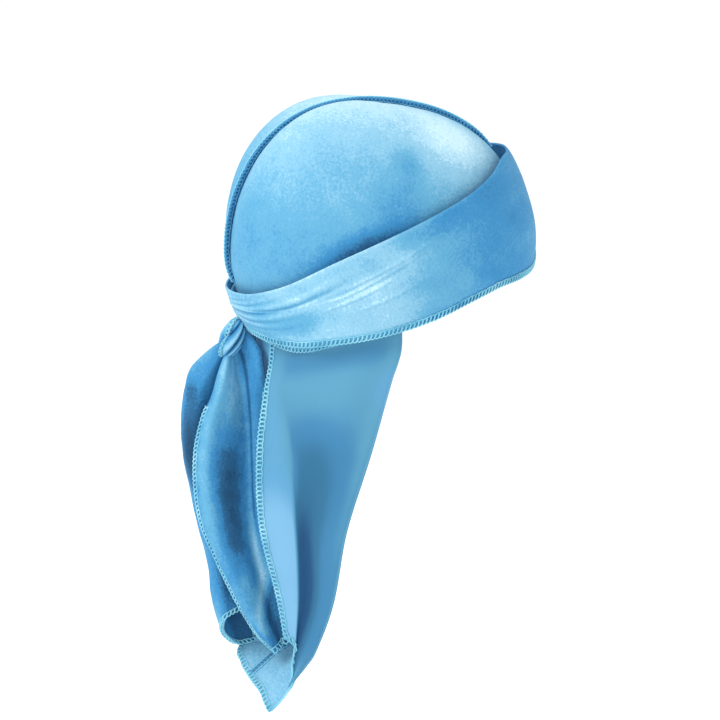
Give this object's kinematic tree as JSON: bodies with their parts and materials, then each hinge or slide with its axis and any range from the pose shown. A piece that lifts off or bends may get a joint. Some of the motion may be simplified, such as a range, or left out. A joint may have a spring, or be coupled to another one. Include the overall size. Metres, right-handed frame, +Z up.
{
  "type": "durag",
  "caption": "Velvet durag shown worn: two-panel cap with a standing centre seam, straps wound round it and knotted at the nape, and a long neck flap.",
  "frame": {"origin": "where the top of the wearer's crown touches the inside of the cap, the mount head_seat", "axes": "+Z up; the wearer faces -Y, the knot and neck flap hang towards +Y, the wearer's right side is -X"},
  "size_m": [0.1658, 0.2326, 0.3941],
  "materials": {
    "crown_right": "crushed velvet",
    "crown_left": "crushed velvet",
    "crown_seam": "overlocked thread seam",
    "wrap_inner": "crushed velvet",
    "wrap_outer": "crushed velvet",
    "knot": "crushed velvet",
    "tail_right": "crushed velvet",
    "tail_left": "crushed velvet",
    "cape": "velvet with its knit back turned out"
  },
  "bodies": {
    "root": {"crown_right": "crown_right", "crown_left": "crown_left", "crown_seam": "crown_seam", "wrap_inner": "wrap_inner", "wrap_outer": "wrap_outer", "knot": "knot", "tail_right": "tail_right", "tail_left": "tail_left", "cape": "cape"}
  },
  "joints": []
}
